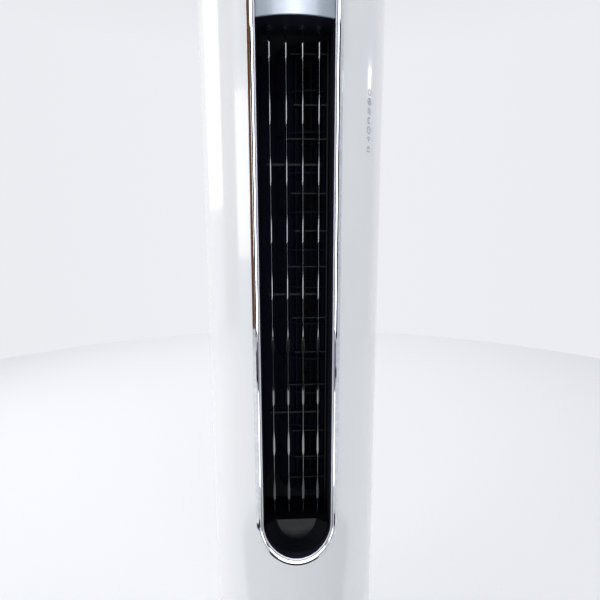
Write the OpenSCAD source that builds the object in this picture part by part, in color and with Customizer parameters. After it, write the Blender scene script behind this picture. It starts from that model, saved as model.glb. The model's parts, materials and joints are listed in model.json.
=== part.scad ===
// Tower fan with a tall air outlet in a bright trim ring, four linked vertical vanes
// and a cross-flow rotor. Front faces -Y, +Z is up, the origin is the centre of the base
// on the floor.

/* [Body] */
// Outside diameter of the round body
body_d = 240; // [236:1:244]
// Overall height, floor to top of the cap
total_h = 1100; // [1095:1:1110]
// Wall thickness of the moulded shells
wall = 3; // [2.5:0.1:3.2]
// Diameter of the weighted base
base_d = 300; // [290:1:320]

/* [Outlet] */
// Clear width of the air outlet
outlet_w = 87; // [86:0.5:88]
// Height of the centre of the outlet's round lower end
outlet_low = 340; // [336:1:344]
// Height of the outlet's upper edge, where the display panel begins
outlet_top = 948; // [946:1:950]
// Height of the centre of the trim ring's round upper end
panel_arc = 1000; // [996:1:1004]
// Width of the trim ring seen from the front
trim_w = 9.5; // [9:0.1:10]
// How far the trim ring stands proud of the shell
trim_proud = 3.2; // [2.5:0.1:3.6]

/* [Vanes] */
// Number of vertical vanes
vane_count = 4; // [4]
// Distance between two vanes
vane_pitch = 19.4; // [19:0.1:19.6]
// Depth of a vane from front edge to rear edge
vane_chord = 24; // [23:0.5:24]
// Thickness of a vane
vane_t = 2; // [1.8:0.1:2.2]
// Distance from a vane's pivot back to its link pins
pin_reach = 14; // [13.8:0.1:14.2]

/* [Rotor] */
// Radius of the cross-flow rotor
rotor_r = 46; // [45:0.5:46.5]
// Number of blades round the rotor
blade_count = 28; // [24:1:32]
// Number of ring discs between the rotor's end discs
disc_count = 11; // [9:1:13]

/* [Hidden] */
$fn = 96;

body_r = body_d / 2;
inner_r = body_r - wall;
base_r = base_d / 2;
far = 400;                       // larger than any part, for cutting half spaces
gap = 0.3;                       // clearance between neighbouring mouldings

// Base
pad_h = 5;
plate_z = 4;
plate_t = 5;
cover_top = 44;
base_hole_r = 50;
shell_z0 = 46;
shell_z1 = total_h - 34;
seam_y = 22;                     // the front shell ends and the rear cover begins here

// Outlet
outlet_r = outlet_w / 2;
trim_r = outlet_r + trim_w;
slot_r = outlet_r + 7;           // half width of the cut in the front shell
lip_w = 2.6;                     // the satin lip between trim ring and opening
duct_r = body_r - 8.2;           // the duct's front edge follows this radius
duct_wall = 3;
duct_back = -44;
panel_r = body_r - 1.5;          // outside of the display panel

// Vanes: pivots on one line, link pins behind them on another
swing_z = 974;                   // underside of the swing motor
swing_shaft_r = 2.5;
vane_z0 = 338;
vane_z1 = 942;
vane_front = -82;
pivot_y = -74;
pin_y = pivot_y + pin_reach;
spindle_r = 2;
pin_r = 1.1;
pin_hole_r = 1.2;
running = 0.08;                  // radial clearance of a pivot in its hole
link_z = [796, 634, 472];
link_w = 6;
link_t = 2.4;
notch_h = 10;
swell_pitch = 69.8;              // spacing of the swellings along each vane's front edge
swell_z0 = 368;                  // height of the lowest swelling
swell_steps = 72;
ledge_z = 334;
dish_back = 86;                  // the dish's back, flat middle and rim, forward of the axis
dish_floor = 91.5;
dish_rim = 109;
dish_flat_r = 25;
spindle_top = 960;               // top of a vane's upper spindle
function vane_x(i) = (i - (vane_count - 1) / 2) * vane_pitch;

// Case screws, cable and supply lead
screw_hole_r = 1.85;
rear_screw_x = 60;
rear_screw_z = [90, 1043];
rear_seat_y = 98.5;
top_frame_z = shell_z1 - 14;
rail_h = top_frame_z - cover_top - 5.2;
cap_boss_r = 84;
cable_x = 93.4;
cable_y = 14;
cord_z = 90;
cord_bore_r = 3.6;
panel_z0 = outlet_top - 6;       // the silver panel hangs a little below the outlet's ceiling
trim_z0 = 200;
trim_z1 = 1062;

// Rotor
rotor_x = 24;
rotor_y = 10;
motor_z0 = 240;
motor_h = 62;
rotor_z0 = 336;
rotor_z1 = 942;
shaft_r = 4;
hub_r = 11;
disc_t = 2;
low_plate_z = 326;
high_plate_z = outlet_top + 1;
plate_r = body_r - 8;
volute_t = 2.5;
spiral_r0 = 50;
spiral_r1 = 85;
spiral_a0 = 120;
spiral_a1 = 215;
spiral_steps = 19;

// Guide ribs: three in each of the four bays between the links, the top one shortest
rib_z = [926, 868, 828, 762, 715, 669, 601, 554, 508, 441, 402, 371];
rib_left = [0, -9, -4];

// Rear intake
window_x = 98;
window_z0 = 150;
window_z1 = 1030;
bar_count = 27;
bar_w = 2.6;
band_count = 9;
band_h = 4;

// Controls on the cap
panel_disc_r = 72;
panel_face_z = total_h - 3;
button_r = 7;
button_ring = 50;
button_angles = [-140, -115, -90, -65, -40];

// A pipe about the Z axis.
module pipe(r_out, r_in, z0, z1) {
    translate([0, 0, z0]) difference() {
        cylinder(r = r_out, h = z1 - z0);
        translate([0, 0, -1]) cylinder(r = r_in, h = z1 - z0 + 2);
    }
}

// A long slot outline with round ends, in X and Z.
function slot_points(r, z0, z1, steps = 32) = concat(
    [for (i = [0 : steps]) let (a = 180 + 180 * i / steps) [r * cos(a), z0 + r * sin(a)]],
    [for (i = [0 : steps]) let (a = 180 * i / steps) [r * cos(a), z1 + r * sin(a)]]);

// The slot outline as a prism that runs from a plane across Y out through the front.
module slot_prism(r, z0, z1, back = -40) {
    translate([0, back, 0]) rotate([90, 0, 0])
        linear_extrude(height = far / 2) polygon(slot_points(r, z0, z1));
}

// Everything in front of or behind a plane across Y.
module in_front_of(y) { translate([-far, y - 2 * far, -far]) cube([2 * far, 2 * far, 5 * far]); }
module behind(y) { translate([-far, y, -far]) cube([2 * far, 2 * far, 5 * far]); }

// A pan-head screw along +Z, with its head below z = 0 and a cross slot in it.
module case_screw() {
    translate([0, 0, -2.2]) difference() {
        cylinder(r = 3.8, h = 2.2, $fn = 32);
        for (a = [0, 90]) rotate(a) translate([-2.2, -0.4, -1]) cube([4.4, 0.8, 2.2]);
    }
    translate([0, 0, -0.01]) cylinder(r = 1.8, h = 12, $fn = 32);
}

module ring_of(count, r, start = 0) {
    for (i = [0 : count - 1]) rotate(start + 360 * i / count) translate([r, 0, 0]) children();
}

// ---------- base ----------

module foot_pads() color("dimgray") ring_of(6, 132, 30) cylinder(r = 9, h = pad_h, $fn = 48);

module base_plate() color([0.2, 0.2, 0.22]) difference() {
    translate([0, 0, plate_z]) cylinder(r = base_r - 4.5, h = plate_t);
    ring_of(6, 132, 30) cylinder(r = 9 + gap, h = pad_h + 0.1, $fn = 48);
    ring_of(4, 100, 45) cylinder(r = 2.2, h = 20, $fn = 32);
    ring_of(4, 100, 45) cylinder(r = 4.4, h = plate_z + 2.7, $fn = 32);
    translate([0, 0, -1]) cylinder(r = 40, h = 20);
}

base_cover_section = concat(
    [[base_r - 3, 6], [base_r, 6], [base_r, 15]],
    [for (i = [1 : 12]) let (a = 90 * i / 12)
        [body_r + 4 + (base_r - body_r - 4) * cos(a), 15 + (cover_top - 18) * sin(a)]],
    [[body_r + 1, cover_top - 3], [body_r + 1, cover_top], [base_hole_r, cover_top],
        [base_hole_r, cover_top - 3], [body_r - 2, cover_top - 3]],
    [for (i = [11 : -1 : 0]) let (a = 90 * i / 12)
        [body_r + 1 + (base_r - body_r - 4) * cos(a), 12 + (cover_top - 18) * sin(a)]]);

module base_cover() color("white") {
    difference() {
        rotate_extrude() polygon(base_cover_section);
        ring_of(4, 84, 0) translate([0, 0, cover_top - 6]) cylinder(r = screw_hole_r, h = 12, $fn = 32);
    }
    ring_of(4, 100, 45) difference() {
        translate([0, 0, plate_z + plate_t + 0.1]) cylinder(r = 6, h = cover_top - plate_z - plate_t - 3);
        cylinder(r = screw_hole_r, h = 32, $fn = 32);
    }
}

// All sixteen screws of the case are alike: base, tray, rear cover and top.
module case_screws() color("silver") {
    ring_of(4, 100, 45) translate([0, 0, plate_z + 2.6]) case_screw();
    ring_of(4, 84, 0) translate([0, 0, cover_top + 7.2]) mirror([0, 0, 1]) case_screw();
    ring_of(4, cap_boss_r, 20) translate([0, 0, top_frame_z - 0.1]) case_screw();
    for (s = [-1, 1], z = rear_screw_z)
        translate([s * rear_screw_x, rear_seat_y + 0.1, z]) rotate([90, 0, 0]) case_screw();
}

module chassis_tray() color([0.25, 0.25, 0.27]) {
    difference() {
        union() {
            translate([0, 0, cover_top]) cylinder(r = inner_r - gap, h = 5);
            pipe(inner_r - gap, inner_r - 3, cover_top, cover_top + 16);
            rear_posts(46, 110);
        }
        translate([0, 0, cover_top - 1]) cylinder(r = 30, h = 8);
        ring_of(4, 84, 0) translate([0, 0, 40]) cylinder(r = 2.2, h = 12, $fn = 32);
        rear_screw_holes(rear_screw_z[0], screw_hole_r);
    }
}

// Upright posts that take the rear cover's screws, and the holes in them.
module rear_posts(z0, z1) {
    for (s = [-1, 1]) translate([s * rear_screw_x - 7, 80, z0]) cube([14, 13.6, z1 - z0]);
}

module rear_screw_holes(z, r) {
    for (s = [-1, 1])
        translate([s * rear_screw_x, 75, z]) rotate([-90, 0, 0]) cylinder(r = r, h = 60, $fn = 32);
}

// ---------- frame ----------

module rails(grow = 0) {
    for (s = [-1, 1]) translate([s * 103 - 5 - grow, 10 - grow, cover_top + 5 - grow])
        cube([10 + 2 * grow, 18 + 2 * grow, rail_h + 2 * grow]);
}

// A folded channel, open towards the middle.
module rail(side) {
    translate([side * 103, 19, cover_top + 5]) difference() {
        translate([-5, -9, 0.2]) cube([10, 18, rail_h - 0.2]);
        translate([side > 0 ? -6 : -3.5, -7.5, -1]) cube([9.5, 15, rail_h + 2]);
    }
}

module left_rail() color("silver") rail(-1);
module right_rail() color("silver") rail(1);

// A level plate with a straight front edge, notched for the rails and the cable.
module plate(z, t, front) {
    difference() {
        intersection() {
            translate([0, 0, z]) cylinder(r = plate_r, h = t);
            behind(front);
        }
        rails(gap);
        cable_hole();
    }
}

module cable_hole() translate([cable_x, cable_y, 100]) cylinder(r = 2.6, h = 1000, $fn = 32);

// The ring plate across the top of the rails, which carries the cap and the rear cover.
module top_frame() color([0.25, 0.25, 0.27]) {
    difference() {
        union() {
            pipe(inner_r - gap, 52, top_frame_z, top_frame_z + 3);
            rear_posts(top_frame_z - 24, top_frame_z + 1);
        }
        ring_of(4, cap_boss_r, 20) translate([0, 0, top_frame_z - 1]) cylinder(r = 2.2, h = 6, $fn = 32);
        rear_screw_holes(rear_screw_z[1], screw_hole_r);
        cable_hole();
    }
}

module bulkhead_lower() color([0.25, 0.25, 0.27]) {
    difference() {
        plate(low_plate_z, 4, duct_back + gap);
        translate([rotor_x, rotor_y, 300]) cylinder(r = 16, h = 60);
    }
    translate([rotor_x, rotor_y, 0]) ring_of(3, 50, 90) difference() {
        translate([0, 0, motor_z0 + motor_h + 0.2])
            cylinder(r = 5, h = low_plate_z - motor_z0 - motor_h, $fn = 48);
        translate([0, 0, motor_z0 + motor_h - 1]) cylinder(r = screw_hole_r, h = 18, $fn = 32);
    }
}

module bulkhead_upper() color([0.25, 0.25, 0.27]) {
    difference() {
        union() {
            plate(high_plate_z, 4, -49.5);
            translate([rotor_x, rotor_y, high_plate_z]) cylinder(r = 16, h = 14);
        }
        translate([rotor_x, rotor_y, 900]) cylinder(r = 9, h = 100);
    }
}

// ---------- shells ----------

module front_shell() color("white") difference() {
    intersection() {
        pipe(body_r, inner_r, shell_z0, shell_z1);
        in_front_of(seam_y);
    }
    slot_prism(slot_r, outlet_low, panel_arc);
}

module rear_window(grow) {
    translate([-window_x - grow, 40, window_z0 - grow])
        cube([2 * (window_x + grow), far, window_z1 - window_z0 + 2 * grow]);
}

module rear_cover() color("white") difference() {
    union() {
        intersection() {
            pipe(body_r, inner_r, shell_z0, shell_z1);
            behind(seam_y + gap);
        }
        intersection() {
            for (s = [-1, 1], z = rear_screw_z)
                translate([s * rear_screw_x, 94, z]) rotate([-90, 0, 0]) cylinder(r = 6.5, h = 20);
            translate([0, 0, shell_z0]) cylinder(r = body_r - 1, h = shell_z1 - shell_z0);
        }
    }
    rear_window(0);
    for (z = rear_screw_z) rear_screw_holes(z, 2.3);
    for (s = [-1, 1], z = rear_screw_z)
        translate([s * rear_screw_x, rear_seat_y, z]) rotate([-90, 0, 0]) cylinder(r = 4.4, h = 40, $fn = 32);
    translate([0, 100, cord_z]) rotate([-90, 0, 0]) cylinder(r = 8.2, h = 40);
}

// Round gland for the supply lead, with its bore open to the rear.
module cord_gland() color([0.15, 0.15, 0.15])
    translate([0, 104, cord_z]) rotate([-90, 0, 0]) rotate_extrude() polygon([
        [cord_bore_r, 0], [11, 0], [11, 12.4], [8, 12.4], [8, 16.6], [11, 16.6], [11, 18.5], [8, 21],
        [6.5, 28], [cord_bore_r, 28]]);

module rear_grille() color("white") {
    half_angle = asin((window_x - 0.5) / body_r);
    band_pitch = (window_z1 - window_z0 - 1 - band_h) / (band_count - 1);
    intersection() {
        union() {
            for (i = [0 : bar_count - 1])
                rotate(90 - half_angle + 2 * half_angle * (i + 0.5) / bar_count)
                    translate([inner_r + 0.2, -bar_w / 2, window_z0 + 0.5])
                        cube([wall - 0.6, bar_w, window_z1 - window_z0 - 1]);
            for (i = [0 : band_count - 1])
                pipe(body_r - 0.1, inner_r, window_z0 + 0.5 + i * band_pitch,
                    window_z0 + 0.5 + band_h + i * band_pitch);
            for (s = [-1, 1]) difference() {
                pipe(body_r - 0.1, inner_r, window_z0 + 0.5, window_z1 - 0.5);
                translate([s > 0 ? -far : -window_x + 5, -far, 0]) cube([far + window_x - 5, 2 * far, 1200]);
            }
        }
        rear_window(-0.5);
    }
}

module filter_sector(r_out, r_in, half_x, z0, z1) {
    intersection() {
        pipe(r_out, r_in, z0, z1);
        translate([-half_x, 40, z0 - 1]) cube([2 * half_x, far, z1 - z0 + 2]);
    }
}

module filter_frame() color([0.3, 0.3, 0.32]) difference() {
    filter_sector(inner_r - 1, inner_r - 4, 92, 160, 1020);
    for (i = [0 : 4]) difference() {
        translate([-86, 40, 166 + i * 171]) cube([172, far, 164]);
        translate([-2.5, 40, 160]) cube([5, far, 870]);
    }
}

module filter_mesh() color([0.4, 0.4, 0.42])
    filter_sector(inner_r - 4.2, inner_r - 4.9, 91, 161, 1019);

// ---------- cap and controls ----------

module top_cap() color("white") {
    rotate_extrude() polygon(concat(
        [[body_r - 3.2, shell_z1 - 8], [body_r - 3.2, shell_z1], [body_r, shell_z1], [body_r, shell_z1 + 10]],
        [for (i = [1 : 12]) let (a = 90 * i / 12)
            [body_r - 22 + 22 * cos(a), shell_z1 + 10 + 22 * sin(a)]],
        [[panel_disc_r + 2, total_h], [panel_disc_r + 0.3, total_h - 2], [panel_disc_r + 0.3, total_h - 6],
            [panel_disc_r - 6, total_h - 6], [panel_disc_r - 6, total_h - 9], [body_r - 25, total_h - 9]],
        [for (i = [11 : -1 : 0]) let (a = 90 * i / 12)
            [body_r - 25 + 18.5 * cos(a), shell_z1 + 6.5 + 18.5 * sin(a)]],
        [[body_r - 6.5, shell_z1 - 8]]));
    ring_of(4, cap_boss_r, 20) difference() {
        translate([0, 0, top_frame_z + 3.1]) cylinder(r = 5, h = total_h - 8 - top_frame_z - 3.1, $fn = 48);
        translate([0, 0, top_frame_z]) cylinder(r = screw_hole_r, h = 18, $fn = 32);
    }
}

module button_places() {
    for (a = button_angles) translate([button_ring * cos(a), button_ring * sin(a), 0]) children();
}

module control_panel() color([0.05, 0.05, 0.06]) {
    difference() {
        translate([0, 0, total_h - 5.9]) cylinder(r = panel_disc_r, h = 3);
        button_places() translate([0, 0, total_h - 10]) cylinder(r = button_r + gap, h = 20, $fn = 48);
    }
    ring_of(3, 59, 90) translate([0, 0, total_h - 18.3]) cylinder(r = 3, h = 13, $fn = 32);
}

module control_board() color("darkgreen") translate([0, 0, total_h - 20]) difference() {
    cylinder(r = 64, h = 1.6);
    translate([0, 0, -1]) cylinder(r = 20, h = 4);
}

module key_switches() color([0.1, 0.1, 0.1]) button_places() {
    translate([-3, -3, total_h - 18.4]) cube([6, 6, 3.5]);
    translate([0, 0, total_h - 15]) cylinder(r = 1.7, h = 1.1, $fn = 32);
}

module button(i) color([0.75, 0.77, 0.8])
    translate([button_ring * cos(button_angles[i]), button_ring * sin(button_angles[i]), 0]) {
        translate([0, 0, total_h - 9]) cylinder(r = button_r, h = 7.4, $fn = 48);
        translate([0, 0, total_h - 9]) cylinder(r = button_r + 1.4, h = 2.7, $fn = 48);
        translate([0, 0, total_h - 12.8]) cylinder(r = 2, h = 4, $fn = 32);
    }

module button_power() button(0);
module button_speed() button(1);
module button_mode() button(2);
module button_timer() button(3);
module button_swing() button(4);

// ---------- outlet ----------

// The polished trim ring: a band on the shell's outside, and a collar through the slot.
module trim_ring() color("silver") difference() {
    union() {
        intersection() {
            slot_prism(trim_r, outlet_low, panel_arc);
            pipe(body_r + trim_proud, body_r + 0.1, trim_z0, trim_z1);
        }
        intersection() {
            slot_prism(slot_r - 0.2, outlet_low, panel_arc);
            pipe(body_r + 1, duct_r + 0.2, trim_z0, trim_z1);
        }
    }
    slot_prism(outlet_r + lip_w + 0.1, outlet_low, panel_arc);
}

// The satin lip inside the trim ring, a little lower than its face.
module trim_lip() color("lightgray") difference() {
    intersection() {
        slot_prism(outlet_r + lip_w, outlet_low, panel_arc);
        pipe(body_r + trim_proud - 2, duct_r + 0.2, trim_z0, trim_z1);
    }
    slot_prism(outlet_r, outlet_low, panel_arc);
}

module display_panel() color([0.75, 0.79, 0.85]) difference() {
    intersection() {
        slot_prism(outlet_r - 0.2, outlet_low, panel_arc);
        pipe(panel_r, panel_r - 2.5, panel_z0, trim_z1);
    }
    translate([-25, -130, panel_arc - 20]) cube([50, 40, 40]);
}

module display_window() color([0.05, 0.05, 0.07]) intersection() {
    pipe(panel_r - 0.1, panel_r - 2.2, panel_z0, trim_z1);
    translate([-24.8, -130, panel_arc - 19.8]) cube([49.6, 40, 39.6]);
}

module display_board() color("darkgreen")
    translate([-34, -106.5, panel_arc - 32]) cube([68, 1.6, 64]);

module outlet_duct() color([0.08, 0.08, 0.09]) difference() {
    intersection() {
        slot_prism(outlet_r + duct_wall, outlet_low, panel_arc, duct_back);
        translate([0, 0, 200]) cylinder(r = duct_r, h = outlet_top - 200);
    }
    slot_prism(outlet_r, outlet_low, panel_arc);
}

// The round-bottomed dish below the vanes: flat in its middle, sloping forward to the opening's rim.
module chin_cover() color([0.08, 0.08, 0.09]) intersection() {
    slot_prism(outlet_r - 0.15, outlet_low, panel_arc);
    translate([0, 0, 200]) cylinder(r = duct_r - 0.4, h = ledge_z - 200);
    translate([0, 0, outlet_low]) rotate([90, 0, 0]) rotate_extrude() polygon([
        [0, dish_back], [outlet_r + 1, dish_back], [outlet_r + 1, dish_rim], [outlet_r - 2, dish_rim],
        [dish_flat_r + 3.5, dish_floor + 2], [dish_flat_r + 1.8, dish_floor + 0.5], [dish_flat_r, dish_floor],
        [0, dish_floor]]);
}

module pivot_holes(z, h) {
    for (i = [0 : vane_count - 1])
        translate([vane_x(i), pivot_y, z]) cylinder(r = spindle_r + running, h = h, $fn = 32);
}

module vane_carrier_bottom() color([0.08, 0.08, 0.09]) difference() {
    intersection() {
        slot_prism(outlet_r - 0.15, outlet_low, panel_arc);
        translate([-60, -85.7, ledge_z - 8]) cube([120, 41.5, 8]);
    }
    pivot_holes(ledge_z - 6, 20);
}

module vane_carrier_top() color([0.08, 0.08, 0.09]) difference() {
    union() {
        intersection() {
            translate([-outlet_r - 3, -108, outlet_top + 0.2]) cube([outlet_w + 6, 58, 4.8]);
            translate([0, 0, 900]) cylinder(r = duct_r, h = 100);
        }
        for (i = [0 : vane_count - 1])
            translate([vane_x(i), pivot_y, outlet_top - 4]) cylinder(r = 4, h = 6, $fn = 48);
    }
    pivot_holes(900, 100);
}

// ---------- vanes and their linkage ----------

// Half the thickness of a vane's front edge, which swells and thins again up its length.
function edge_half(z) = vane_t * (0.42 + 0.33 * pow(cos(180 * (z - swell_z0) / swell_pitch), 2));

module vane(i) color([0.1, 0.1, 0.11]) {
    height = vane_z1 - vane_z0;
    rear = vane_front + vane_chord;
    edge_z = [for (k = [0 : swell_steps]) vane_z0 + height * k / swell_steps];
    translate([vane_x(i), 0, 0]) {
        difference() {
            union() {
                translate([0, 0, vane_z0]) linear_extrude(height = height) polygon([
                    [-vane_t / 2, vane_front + 2.2], [vane_t / 2, vane_front + 2.2],
                    [vane_t * 0.3, rear], [-vane_t * 0.3, rear]]);
                // The scalloped front edge, seen from the front.
                translate([0, vane_front + 2.3, 0]) rotate([90, 0, 0]) linear_extrude(height = 2.3)
                    polygon(concat([for (z = edge_z) [edge_half(z), z]],
                        [for (k = [swell_steps : -1 : 0]) [-edge_half(edge_z[k]), edge_z[k]]]));
            }
            for (z = link_z) translate([-5, pin_y - 5, z - notch_h / 2]) cube([10, 20, notch_h]);
        }
        for (z = link_z)
            translate([0, pin_y, z - notch_h / 2 - 1]) cylinder(r = pin_r, h = notch_h + 2, $fn = 32);
        translate([0, pivot_y, ledge_z - 5]) cylinder(r = spindle_r, h = vane_z0 - ledge_z + 6, $fn = 32);
        translate([0, pivot_y, vane_z1 - 1]) cylinder(r = spindle_r, h = spindle_top - vane_z1 + 1, $fn = 32);
    }
}

module vane_1() vane(0);
module vane_2() vane(1);
module vane_3() vane(2);
module vane_4() vane(3);

// A flat bar with one hole for each vane's pin.
module link_bar(z) color([0.12, 0.12, 0.13]) {
    difference() {
        translate([vane_x(0) - 4.5, pin_y - link_w / 2, z - link_t / 2])
            cube([(vane_count - 1) * vane_pitch + 9, link_w, link_t]);
        for (i = [0 : vane_count - 1])
            translate([vane_x(i), pin_y, z - 10]) cylinder(r = pin_hole_r, h = 20, $fn = 32);
    }
}

module link_upper() link_bar(link_z[0]);
module link_middle() link_bar(link_z[1]);
module link_lower() link_bar(link_z[2]);

// The coupling that joins the swing motor's shaft to the first vane's spindle.
module swing_coupling() color([0.85, 0.85, 0.8]) translate([vane_x(0), pivot_y, 0]) difference() {
    union() {
        translate([0, 0, spindle_top - 6]) cylinder(r = 5, h = 12, $fn = 48);
        translate([-6.5, -1, spindle_top - 6]) cube([13, 2, 5]);
    }
    translate([0, 0, spindle_top - 10]) cylinder(r = spindle_r + 0.02, h = 10.2, $fn = 32);
    translate([0, 0, spindle_top + 0.6]) cylinder(r = swing_shaft_r + 0.02, h = 10, $fn = 32);
}

module swing_shaft() color("silver") translate([vane_x(0), pivot_y, spindle_top + 1])
    cylinder(r = swing_shaft_r, h = 20, $fn = 32);

// The stepper that swings the vanes, on a bracket above the outlet.
module swing_motor() color("silver") {
    translate([vane_x(0), pivot_y, 0]) {
        difference() {
            translate([0, 0, swing_z]) cylinder(r = 14, h = 18);
            translate([0, 0, swing_z - 1]) cylinder(r = swing_shaft_r + running, h = 10, $fn = 32);
        }
        difference() {
            translate([-14, -6, swing_z + 17.9]) cube([46, 12, 2]);
            translate([0, 0, swing_z + 10]) cylinder(r = 9, h = 20);
        }
    }
    translate([vane_x(0) + 24, pivot_y - 5, high_plate_z + 4.1]) cube([8, 10, swing_z + 15.8 - high_plate_z]);
}

// ---------- air path ----------

function spiral(t, extra = 0) =
    let (a = spiral_a0 + (spiral_a1 - spiral_a0) * t,
        r = spiral_r0 * pow(spiral_r1 / spiral_r0, t) + extra)
    [rotor_x + r * cos(a), rotor_y + r * sin(a)];

module volute_wall() color([0.1, 0.1, 0.12])
    translate([0, 0, low_plate_z + 4.2]) linear_extrude(height = high_plate_z - low_plate_z - 4.4) {
        polygon(concat(
            [for (i = [0 : spiral_steps]) spiral(i / spiral_steps)],
            [[-outlet_r, duct_back + gap], [-outlet_r - duct_wall, duct_back + gap]],
            [for (i = [spiral_steps : -1 : 0]) spiral(i / spiral_steps, volute_t)]));
        polygon([spiral(0.04, 1), spiral(0, volute_t - 0.2), [-56.5, 95], [-58, 93]]);
    }

module stabiliser() color([0.1, 0.1, 0.12])
    translate([0, 0, low_plate_z + 4.2]) linear_extrude(height = high_plate_z - low_plate_z - 4.4) polygon([
        [outlet_r, duct_back + gap], [outlet_r + 0.6, -38], [outlet_r + 2.4, -36], [outlet_r + 5, -37],
        [62, -47], [98, -54], [97.4, -57], [61, -50], [outlet_r + duct_wall, duct_back + gap]]);

// Level ribs that reach out from the duct's right wall in front of the rotor.
module guide_ribs() color([0.1, 0.1, 0.12]) {
    translate([outlet_r - 2.6, -55, ledge_z + 0.2]) cube([2, 10.7, outlet_top - ledge_z - 0.4]);
    for (i = [0 : len(rib_z) - 1])
        translate([rib_left[(i + 2) % 3], -55, rib_z[i] - 0.8])
            cube([outlet_r - 1 - rib_left[(i + 2) % 3], 10.7, 1.6]);
}

// ---------- rotor and motor ----------

module rotor() color([0.16, 0.16, 0.17]) translate([rotor_x, rotor_y, 0]) difference() {
    union() {
        for (k = [0 : blade_count - 1]) rotate(360 * k / blade_count)
            translate([0, 0, rotor_z0 + 0.5]) linear_extrude(height = rotor_z1 - rotor_z0 - 1)
                polygon([[35.5, -2.6], [40, -3.4], [45.6, -1.4], [45.3, -0.4], [40.1, -2.2], [35.6, -1.4]]);
        for (k = [1 : disc_count]) difference() {
            translate([0, 0, rotor_z0 + (rotor_z1 - rotor_z0 - disc_t) * k / (disc_count + 1)])
                cylinder(r = rotor_r, h = disc_t);
            translate([0, 0, 300]) cylinder(r = 34, h = 700);
        }
        translate([0, 0, rotor_z0]) cylinder(r = rotor_r, h = 2.4);
        translate([0, 0, rotor_z1 - 2.4]) cylinder(r = rotor_r, h = 2.4);
        translate([0, 0, rotor_z0 - 3]) cylinder(r = hub_r, h = 17);
        translate([0, 0, rotor_z1 - 12]) cylinder(r = hub_r, h = 13);
    }
    translate([0, 0, rotor_z0 - 10]) cylinder(r = shaft_r + 0.02, h = 30, $fn = 48);
    translate([0, 0, rotor_z1 - 14]) cylinder(r = shaft_r + 0.02, h = 30, $fn = 48);
}

module rotor_spindle() color("silver")
    translate([rotor_x, rotor_y, rotor_z1 - 11]) cylinder(r = shaft_r, h = 30, $fn = 48);

module bearing_bush() color("peru") translate([rotor_x, rotor_y, high_plate_z + 1]) difference() {
    cylinder(r = 8.9, h = 12);
    translate([0, 0, -1]) cylinder(r = shaft_r + 0.06, h = 14, $fn = 48);
}

// The motor's can with a flange of three ears, open in the middle for the shaft.
module motor_case() color("silver") translate([rotor_x, rotor_y, 0]) difference() {
    union() {
        translate([0, 0, motor_z0]) cylinder(r = 42, h = motor_h);
        for (a = [90, 210, 330]) rotate(a) {
            translate([50, 0, motor_z0 + motor_h - 3]) cylinder(r = 6, h = 3, $fn = 48);
            translate([38, -6, motor_z0 + motor_h - 3]) cube([12, 12, 3]);
        }
    }
    difference() {
        translate([0, 0, motor_z0 + 2]) cylinder(r = 39.5, h = motor_h - 4);
        for (z = [motor_z0, motor_z0 + motor_h - 8]) translate([0, 0, z]) cylinder(r = 11, h = 8);
    }
    translate([0, 0, motor_z0 - 10]) cylinder(r = 9, h = motor_h + 20);
    ring_of(3, 50, 90) translate([0, 0, motor_z0 + motor_h - 10]) cylinder(r = 2.2, h = 30, $fn = 32);
}

module motor_stator() color("peru") translate([rotor_x, rotor_y, 0]) difference() {
    translate([0, 0, motor_z0 + 10]) cylinder(r = 39.3, h = 42);
    translate([0, 0, motor_z0]) cylinder(r = 22, h = 70);
    ring_of(8, 34, 0) translate([0, 0, motor_z0]) cylinder(r = 3.6, h = 70, $fn = 24);
}

module motor_rotor() color("silver") translate([rotor_x, rotor_y, 0]) {
    translate([0, 0, motor_z0 - 6]) cylinder(r = shaft_r, h = rotor_z0 + 16 - motor_z0, $fn = 48);
    translate([0, 0, motor_z0 + 11]) cylinder(r = 21.4, h = 40);
}

module motor_bearings() color("silver") translate([rotor_x, rotor_y, 0])
    for (z = [motor_z0, motor_z0 + motor_h - 7]) translate([0, 0, z]) difference() {
        cylinder(r = 8.95, h = 7);
        translate([0, 0, -1]) cylinder(r = shaft_r + running, h = 9, $fn = 48);
    }

// ---------- electrics ----------

module power_board() color("darkgreen") {
    translate([-55, 30, cover_top + 5.2]) cube([110, 1.6, 130]);
    translate([-40, 8, 75]) cube([38, 22, 34]);
    translate([12, 12, 70]) cube([28, 18, 22]);
    translate([-28, 17, 135]) rotate([-90, 0, 0]) cylinder(r = 11, h = 13.1);
    for (i = [0 : 3]) translate([4 + i * 12, 21, 120]) cube([9, 9, 14]);
    for (s = [-1, 1]) translate([s * 50 - 4, 31.6, cover_top + 5.2]) cube([8, 12, 20]);
}

// One round cable through a list of points, with a ball at each bend.
module cable(points, r) {
    for (i = [0 : len(points) - 2]) {
        step = points[i + 1] - points[i];
        across = norm([step[0], step[1]]);
        translate(points[i]) rotate([0, atan2(across, step[2]), atan2(step[1], step[0])])
            cylinder(r = r, h = norm(step), $fn = 24);
        if (i > 0) translate(points[i]) sphere(r = r, $fn = 24);
    }
}

// The panel cable climbs beside the right rail, from the power board to the cap's board.
module panel_cable() color([0.2, 0.2, 0.22]) cable([[48, 29.9, 90], [48, cable_y, 90], [cable_x, cable_y, 90],
    [cable_x, cable_y, 1066], [50, cable_y, 1066], [50, cable_y, total_h - 20.1]], 1.9);

module motor_cable() color([0.2, 0.2, 0.22]) cable([[-30, 29.9, 160], [-30, 25, 160], [-30, 25, 262],
    [-16.6, 21.3, 262]], 1.9);

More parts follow.
